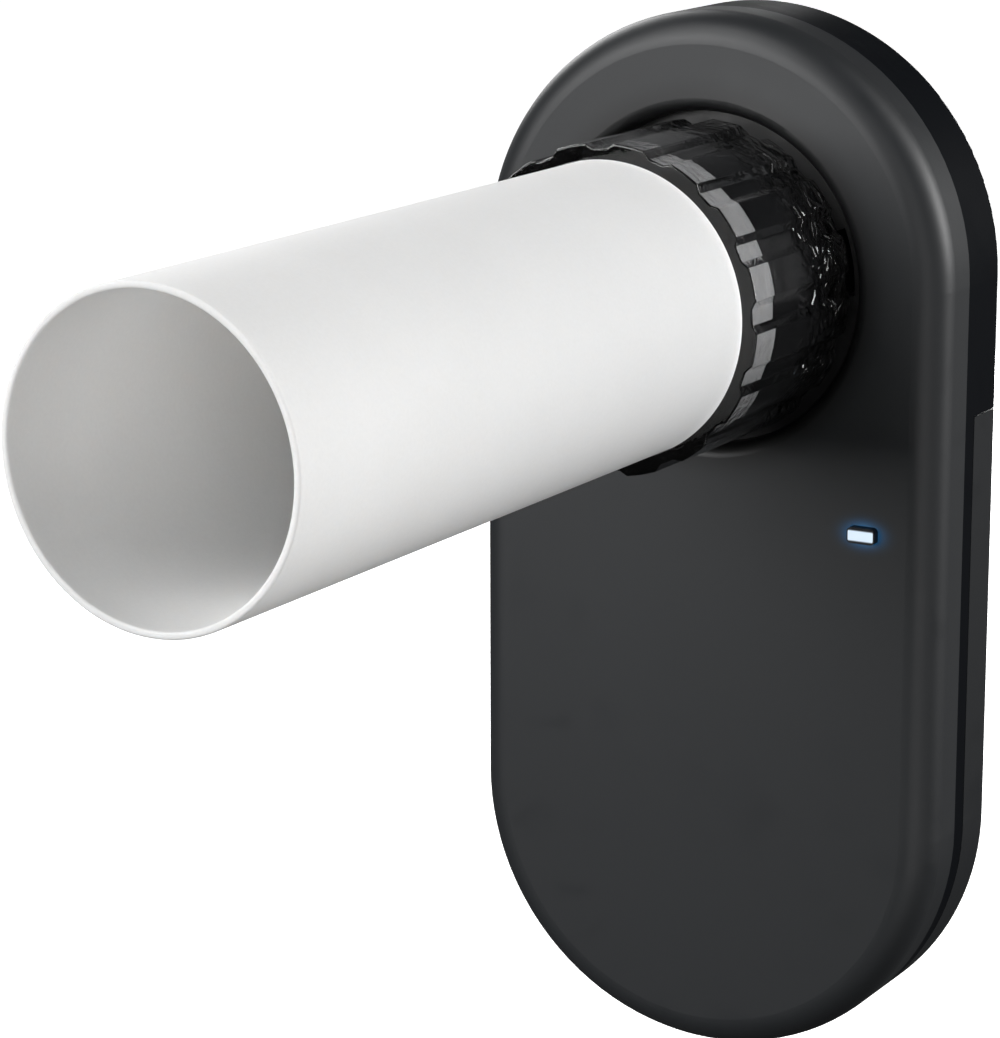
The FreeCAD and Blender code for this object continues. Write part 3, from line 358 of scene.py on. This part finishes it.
mouthpiece = start_loop("mouthpiece_tube", TUBE_SIDES, tube_radius, tube_high.y)
next_loop(-tube_length)
next_loop(0, tube_bore / tube_radius)
next_loop(tube_length)
close_ends(mouthpiece)
round_edges(mouthpiece, TUBE_RIM_RADIUS, segments=3, angle=30)
mouthpiece_finish = moulded("mouthpiece_finish", TUBE_WHITE, roughness=0.6,
                            grain_size=0.00035, grain_depth=0.000003, shine=0.2)
tube_surface = surface_of(mouthpiece_finish)
tube_surface["Subsurface Weight"].default_value = WALL_LIGHT_SHARE
tube_surface["Subsurface Radius"].default_value = WALL_LIGHT_COLOUR
tube_surface["Subsurface Scale"].default_value = WALL_LIGHT_DEPTH
mouthpiece.data.materials.append(mouthpiece_finish)
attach(mouthpiece, "mouthpiece_tube")
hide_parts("mouthpiece")

# The fluted collar: clear smoked polycarbonate, moulded and polished, with broad lobes for the
# fingers. It is bonded on the turbine tube, and the end of the white mouthpiece shows through it
# as a pale band.

SMOKE = (0.29, 0.29, 0.295, 1)
SMOKE_DRIFT = 0.15
COLLAR_RADIUS = 0.0167
COLLAR_LOBES = 16
COLUMNS_PER_LOBE = 8
FLUTE_DEPTH = 0.00055
FLUTE_HALF_FLOOR = 2.9
FLUTE_PHASE = 2.8125
COLLAR_FRONT_CHAMFER = 0.00012
COLLAR_REAR_CHAMFER = 0.0008
COLLAR_REAR_TAPER = 0.0018
COLLAR_BORE_CLEARANCE = 0.00005
COLLAR_EDGE_RADIUS = 0.00007
COLLAR_POLISH = 0.03
COLLAR_HAZE = 0.05
COLLAR_SHINE = 0.25
POLYCARBONATE_IOR = 1.5
FLOW_SCALE = 260.0
FLOW_HEIGHT = 0.6
CREASE_SCALE = 270.0
CREASE_HEIGHT = 3.4
MARK_DEPTH = 0.0006
MARKS_IN_FRONT = 0.02
SINK_START = 0.009
collar_low, collar_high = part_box("grip_collar")
collar_bore = tube_radius + COLLAR_BORE_CLEARANCE
collar_length = collar_high.y - collar_low.y
rear_radius = COLLAR_RADIUS - COLLAR_REAR_CHAMFER
front_radius = COLLAR_RADIUS - COLLAR_FRONT_CHAMFER
flute_share = (COLLAR_RADIUS - FLUTE_DEPTH) / COLLAR_RADIUS


def smoked(name, colour):
    """Smoked clear plastic. The marks that its flow left in the mould grow towards the rear."""
    material, place, surface = start_finish(name)
    flow = place.noise(FLOW_SCALE, detail=2.0, distortion=1.5)
    creases = abs(place.noise(CREASE_SCALE, detail=0.0, distortion=2.6) - 0.5)
    sink = place.along("Y").fade(collar_low.y + SINK_START, collar_high.y)
    marks = (flow * FLOW_HEIGHT + creases * CREASE_HEIGHT) * (sink + MARKS_IN_FRONT)
    colours = flow.blend(tint(colour, 1 - SMOKE_DRIFT), tint(colour, 1 + SMOKE_DRIFT))
    place.join(surface["Base Color"], colours)
    place.join(surface["Roughness"], COLLAR_POLISH + flow * COLLAR_HAZE)
    place.join(surface["Normal"], marks.relief(MARK_DEPTH, strength=0.8))
    surface["Transmission Weight"].default_value = 1.0
    surface["IOR"].default_value = POLYCARBONATE_IOR
    surface["Specular IOR Level"].default_value = COLLAR_SHINE
    return material


def in_flute(point):
    """True for the points of the collar's outside that lie on the floor of a flute."""
    x, z = point.co.x, point.co.z - flow_axis.z
    outside = hypot(x, z) > (collar_bore + rear_radius) / 2
    step = 360 / COLLAR_LOBES
    off_middle = (degrees(atan2(z, x)) - FLUTE_PHASE + step / 2) % step - step / 2
    return outside and abs(off_middle) < FLUTE_HALF_FLOOR


collar = start_loop("fluted_collar", COLLAR_LOBES * COLUMNS_PER_LOBE, rear_radius, collar_high.y)
next_loop(-COLLAR_REAR_TAPER, COLLAR_RADIUS / rear_radius)
next_loop(-(collar_length - COLLAR_REAR_TAPER - COLLAR_FRONT_CHAMFER))
next_loop(-COLLAR_FRONT_CHAMFER, front_radius / COLLAR_RADIUS)
next_loop(0, collar_bore / front_radius)
next_loop(collar_length)
close_ends(collar)
pick(collar, "VERT", in_flute)
bpy.ops.transform.resize(value=(flute_share, 1, flute_share), center_override=flow_axis)
round_edges(collar, COLLAR_EDGE_RADIUS, segments=2, angle=25)
collar.data.materials.append(smoked("collar_finish", SMOKE))
collar.visible_shadow = False
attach(collar, "turbine")
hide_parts("grip_collar")

# The status light: a small bar of clear plastic that stands out of the front in a black sleeve.
# A chip on the board lights it from behind. The faint blue glow it throws on the grey round it is
# painted.

LIGHT_BLUE = (0.74, 0.88, 1.0, 1)
LIGHT_DIMMEST = 0.94
LIT_HEIGHT = 0.00106
LIT_EDGE_BLUR = 0.0001
EDGE_GLOW = (0.004, 0.006, 0.010, 1)
EDGE_TONE = 0.01
UNLIT_SHARE = 0.06
HAZE_SCALE = 900.0
HAZE_SHINE = 0.1
# Painted glow: the blue, reach and strength emitted by the front shell's finish round the status
# light.
HALO_BLUE = (0.05, 0.42, 1.0, 1)
HALO_START = 0.0008
HALO_REACH = 0.0030
HALO_SPREAD = (0.62, 0.4, 1)
HALO_STRENGTH = 0.3
light_low, light_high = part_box("light_pipe")
light_centre = (light_low + light_high) / 2


def lit(name, colour, roughness):
    """Clear plastic lit from within over the middle of its height, with dark edges."""
    material, place, surface = start_finish(name)
    haze = place.noise(HAZE_SCALE, detail=2.0)
    off_middle = abs(place.along("Z") - light_centre.z)
    edge = off_middle.fade(LIT_HEIGHT / 2 - LIT_EDGE_BLUR, LIT_HEIGHT / 2 + LIT_EDGE_BLUR)
    glow = haze.blend(tint(colour, LIGHT_DIMMEST), colour)
    place.join(surface["Base Color"], edge.blend(tint(colour, UNLIT_SHARE), grey(EDGE_TONE)))
    place.join(surface["Emission Color"], edge.blend(glow, EDGE_GLOW))
    place.join(surface["Roughness"], roughness + haze * HAZE_SHINE)
    surface["Emission Strength"].default_value = 1.0
    return material


def paint_halo_on(material):
    """A painted glow: emission on the plastic round the status light, for the faint light that it
    throws there.
    """
    place, surface = place_in(material), surface_of(material)
    reach = place.reach(light_centre, HALO_SPREAD)
    near = place.node("MapRange", inputs={"Value": reach, "From Min": HALO_REACH,
                                          "From Max": HALO_START})
    place.join(surface["Emission Color"], (near ** 4).blend(grey(0), HALO_BLUE))
    surface["Emission Strength"].default_value = HALO_STRENGTH


dress(lit("light_finish", LIGHT_BLUE, roughness=0.25), "light_pipe")
# Painted glow on the front shell round the status light.
paint_halo_on(front_finish)

# The circuit board and what is soldered to it: the infra-red pairs that watch the vane, the
# chips, the radio module under its tin can, and the small light itself.

BOARD_GREEN = (0.012, 0.075, 0.030, 1)
CHIP_BLACK = (0.014, 0.014, 0.015, 1)
EMITTER_CLEAR = (0.26, 0.22, 0.30, 1)
DETECTOR_DARK = (0.012, 0.010, 0.016, 1)
LED_CREAM = (0.80, 0.78, 0.60, 1)
TINPLATE = (0.66, 0.66, 0.65, 1)
board_finish = moulded("board_finish", BOARD_GREEN, roughness=0.3,
                       grain_size=0.00050, grain_depth=0.000004, coat=0.5)
chip_finish = moulded("chip_finish", CHIP_BLACK, roughness=0.55,
                      grain_size=0.00012, grain_depth=0.000005)
emitter_finish = moulded("opto_clear_finish", EMITTER_CLEAR, roughness=0.15,
                         grain_size=0.00040, grain_depth=0.000001)
detector_finish = moulded("opto_dark_finish", DETECTOR_DARK, roughness=0.15,
                          grain_size=0.00040, grain_depth=0.000001)
led_finish = moulded("led_finish", LED_CREAM, roughness=0.35,
                     grain_size=0.00020, grain_depth=0.000002)
dress(board_finish, "main_board")
dress(chip_finish, "board_chips")
dress(emitter_finish, "ir_emitters")
dress(detector_finish, "ir_detectors")
dress(led_finish, "status_led")
dress(metal("can_finish", TINPLATE, roughness=0.3, line_scale=(900, 900, 4000)), "radio_module")

# Screws: pan heads in zinc-plated steel with a cross recess. Four go through the rear shell into
# the front shell's posts, and two hold the board.

screw_finish = metal("screw_finish", STEEL, roughness=0.28, line_scale=(3000, 3000, 3000))
dress(screw_finish, "board_screws", "housing_screws")

# Two AAA cells in a bare dark jacket, side by side and head to tail in the bay. Contacts of
# nickel-plated spring steel hold them at both ends and join them in series.

JACKET_GREY = (0.10, 0.11, 0.12, 1)
NICKEL = (0.72, 0.70, 0.66, 1)
cell_finish = moulded("cell_finish", JACKET_GREY, roughness=0.25,
                      grain_size=0.00060, grain_depth=0.000002, coat=0.6)
contact_finish = metal("contact_finish", NICKEL, roughness=0.18, line_scale=(2500, 2500, 2500))
dress(cell_finish, "battery_cells")
dress(contact_finish, "plus_contact", "minus_contact", "bridge_contact")

# The studio: a pale floor well below the device, a white surround, and soft square lamps.
# The floor and the surround are seen as white, but they light the device only a little.

FLOOR_DROP = 0.10
FLOOR_SIZE = 6.0
FLOOR_DARKEST = 0.84
FLOOR_LIGHTEST = 0.87
FLOOR_ROUGHNESS = 0.9
MOTTLE_SCALE = 6.0
SURROUND_SEEN = 1.05
SURROUND_LIGHT = 0.04
front_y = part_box("front_shell")[0].y
bottom_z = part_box("front_shell")[0].z

bpy.ops.mesh.primitive_plane_add(size=FLOOR_SIZE, location=(0, 0, bottom_z - FLOOR_DROP))
floor = bpy.context.active_object
floor.name = "studio_floor"
floor_finish, place, surface = start_finish("floor_finish")
mottle = place.noise(MOTTLE_SCALE, detail=3.0)
place.join(surface["Base Color"], mottle.blend(grey(FLOOR_DARKEST), grey(FLOOR_LIGHTEST)))
surface["Roughness"].default_value = FLOOR_ROUGHNESS
surface["Emission Color"].default_value = grey(1)
surface["Emission Strength"].default_value = 1.0
floor.data.materials.append(floor_finish)
floor.visible_diffuse = False
floor.visible_glossy = False
floor.visible_transmission = False


def direction(azimuth, elevation):
    """The unit vector from the device to a lamp or camera. Azimuth 0 is straight in front."""
    a, e = radians(azimuth), radians(elevation)
    return Vector((sin(a) * cos(e), -cos(a) * cos(e), sin(e)))


def softbox(name, azimuth, elevation, power, distance=1.0, size=0.5):
    """A square soft lamp that looks at the middle of the device."""
    lamp = bpy.data.lights.new(name, "AREA")
    lamp.size = size
    lamp.energy = power
    holder = bpy.data.objects.new(name, lamp)
    bpy.context.scene.collection.objects.link(holder)
    holder.location = direction(azimuth, elevation) * distance
    holder.rotation_euler = holder.location.to_track_quat("Z", "Y").to_euler()
    holder.visible_transmission = False


softbox("key_lamp", azimuth=-30, elevation=15, power=6.6)
softbox("top_lamp", azimuth=-30, elevation=45, power=3.0)
softbox("side_lamp", azimuth=118, elevation=15, power=8.4)
softbox("high_lamp", azimuth=105, elevation=45, power=1.5)
softbox("front_lamp", azimuth=30, elevation=15, power=0.8)
softbox("low_lamp", azimuth=30, elevation=-15, power=0.3, distance=0.5, size=0.3)
softbox("rear_lamp", azimuth=-128, elevation=25, power=4.0)
softbox("back_lamp", azimuth=-165, elevation=2, power=4.0, distance=0.9, size=0.3)
softbox("low_side_lamp", azimuth=60, elevation=-15, power=0.15, distance=0.5, size=0.3)

world = bpy.data.worlds.new("studio_surround")
world.use_nodes = True
world.node_tree.nodes.clear()
bpy.context.scene.world = world
sky = Shade(world.node_tree)
seen = sky.node("LightPath", output="Is Camera Ray")
strength = seen * (SURROUND_SEEN - SURROUND_LIGHT) + SURROUND_LIGHT
backdrop = sky.node("Background", inputs={"Color": grey(1), "Strength": strength})
output = world.node_tree.nodes.new("ShaderNodeOutputWorld")
sky.join(output.inputs["Surface"], backdrop)

# The camera stands where the photograph was taken from: to the right of the tube and above it.
# Its long lens looks past the foot of the collar, a little to the left of it and below it.

CAMERA_AZIMUTH = 30.401
CAMERA_ELEVATION = 13.671
CAMERA_ROLL = -0.114
CAMERA_DISTANCE = 0.38760
CAMERA_LENS = 129.77
AIM_RIGHT = -0.02091
AIM_UP = -0.02480

back = direction(CAMERA_AZIMUTH, CAMERA_ELEVATION)
roll = Matrix.Rotation(radians(CAMERA_ROLL), 3, back)
stand = roll @ back.to_track_quat("Z", "Y").to_matrix()
aim = flow_axis + Vector((0, front_y, 0)) + stand @ Vector((AIM_RIGHT, AIM_UP, 0))
lens = bpy.data.cameras.new("camera")
lens.lens = CAMERA_LENS
lens.sensor_width = 36.0
lens.clip_start = 0.01
lens.clip_end = 20.0
camera = bpy.data.objects.new("camera", lens)
bpy.context.scene.collection.objects.link(camera)
camera.matrix_world = Matrix.Translation(aim + back * CAMERA_DISTANCE) @ stand.to_4x4()
bpy.context.scene.camera = camera
bpy.context.scene.view_settings.view_transform = "Standard"
